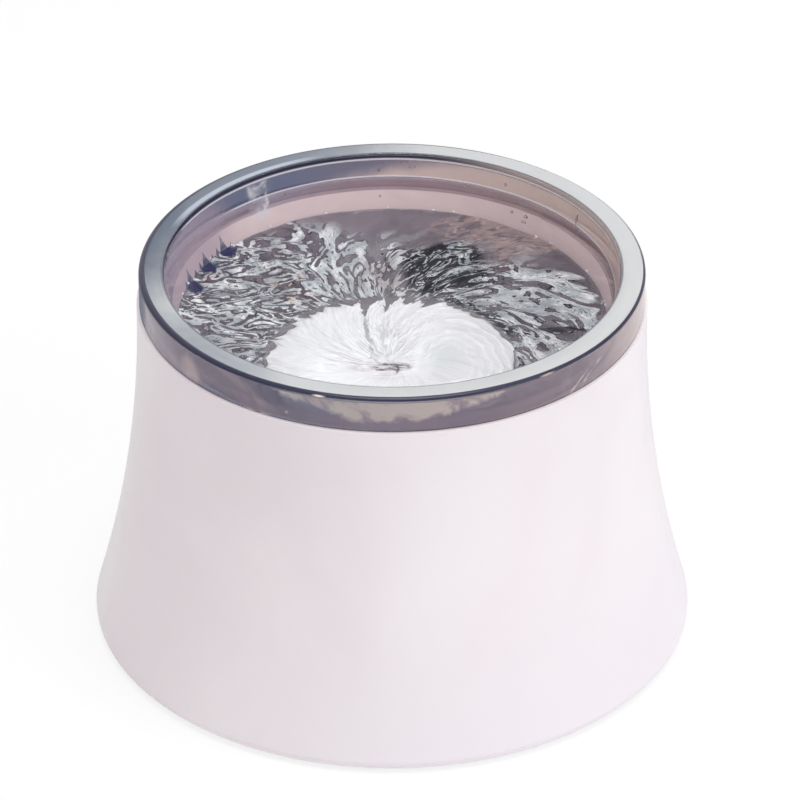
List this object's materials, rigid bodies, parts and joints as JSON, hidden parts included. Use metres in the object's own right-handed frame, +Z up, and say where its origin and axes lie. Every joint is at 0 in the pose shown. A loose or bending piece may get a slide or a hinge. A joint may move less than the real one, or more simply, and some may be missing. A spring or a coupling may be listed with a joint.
{
  "type": "pet water fountain",
  "caption": "Flared white base holding a smoked lift-out bowl of rippling water, pumped through a magnetically driven swirl cap.",
  "frame": {"origin": "middle of the footprint, on the surface that the foot pads stand on", "axes": "+Z up through the bowl axis, -Y to the front, +Y to the charge socket"},
  "size_m": [0.2303, 0.2304, 0.151],
  "materials": {
    "white_shell": "glossy moulded white with faint flow variation",
    "white_inner": "satin moulded white",
    "white_cap": "glossy moulded white",
    "smoked": "clear smoked, polished",
    "water": "still to rippled clear water",
    "grey_rubber": "matt moulded",
    "steel": "plain zinc-plated",
    "motor_can": "drawn can",
    "bracket_steel": "stamped sheet",
    "black_plastic": "moulded, fine grain",
    "dark_hub": "moulded",
    "blue_rotor": "moulded",
    "magnet_plate": "nickel plated",
    "ferrite": "pressed ferrite",
    "ceramic": "ground",
    "bush_tan": "machined polymer",
    "cell_wrap": "heat-shrink sleeve",
    "contact": "plated spring strip",
    "board_green": "solder mask",
    "components": "moulded packages",
    "wire_red": "sleeved wire",
    "wire_orange": "sleeved wire",
    "panel_grey": "satin moulded",
    "lens": "clear moulded",
    "led": "moulded lens",
    "foam": "open-cell foam",
    "carbon": "granular",
    "casing": "moulded mesh"
  },
  "bodies": {
    "base": {"outer_shell": "white_shell", "cradle": "white_inner", "bottom_plate": "white_inner", "foot_pads": "grey_rubber", "base_screws": "steel", "motor_bracket": "bracket_steel", "bracket_screws": "steel", "drive_motor": "motor_can", "motor_screws": "steel", "battery_holder": "black_plastic", "holder_screws": "steel", "battery_cells": "cell_wrap", "battery_contacts": "contact", "battery_leads": "wire_red", "motor_leads": "wire_orange", "rear_panel": "panel_grey", "panel_screws": "steel", "control_board": "board_green", "board_screws": "steel", "board_components": "components", "charge_socket": "steel", "button_switch": "components", "status_led": "led", "light_pipe": "lens"},
    "drive_rotor": {"motor_shaft": "steel", "drive_hub": "dark_hub", "drive_magnets": "magnet_plate"},
    "power_button": {"power_button": "white_shell", "switch_plunger": "white_inner"},
    "bowl": {"bowl": "smoked", "pump_shaft": "ceramic", "water": "water"},
    "impeller": {"impeller": "blue_rotor", "impeller_bush": "bush_tan", "impeller_magnets": "ferrite"},
    "pump_cover": {"pump_housing": "white_inner"},
    "filter": {"filter_box": "white_inner", "filter_casing": "casing", "filter_foam": "foam", "carbon_media": "carbon", "filter_lid": "white_inner"},
    "cap": {"swirl_cap": "white_cap"}
  },
  "joints": [
    {"name": "drive_spin", "type": "hinge", "parent": "base", "child": "drive_rotor", "pos_m": [0, 0, 0.045], "axis": [0, 0, 1], "continuous": true},
    {"name": "button_press", "type": "slide", "parent": "base", "child": "power_button", "axis": [0, -0.9703, -0.2419], "range_m": [0, 0.0008], "stiffness_N_per_m": 900, "springref_m": -0.0006},
    {"name": "bowl_lift", "type": "slide", "parent": "base", "child": "bowl", "axis": [0, 0, 1], "range_m": [0, 0.12]},
    {"name": "impeller_spin", "type": "hinge", "parent": "bowl", "child": "impeller", "pos_m": [0, 0, 0.066], "axis": [0, 0, 1], "continuous": true},
    {"name": "cap_lift", "type": "slide", "parent": "bowl", "child": "cap", "axis": [0, 0, 1], "range_m": [0, 0.15], "deforming": ["water"]},
    {"name": "filter_lift", "type": "slide", "parent": "bowl", "child": "filter", "axis": [0, 0, 1], "range_m": [0, 0.12]},
    {"name": "pump_cover_lift", "type": "slide", "parent": "bowl", "child": "pump_cover", "axis": [0, 0, 1], "range_m": [0, 0.096]}
  ],
  "couplings": [
    {"joint": "impeller_spin", "follows": "drive_spin", "ratio": 1},
    {"joint": "filter_lift", "follows": "cap_lift", "ratio": 0.8},
    {"joint": "pump_cover_lift", "follows": "cap_lift", "ratio": 0.64}
  ]
}
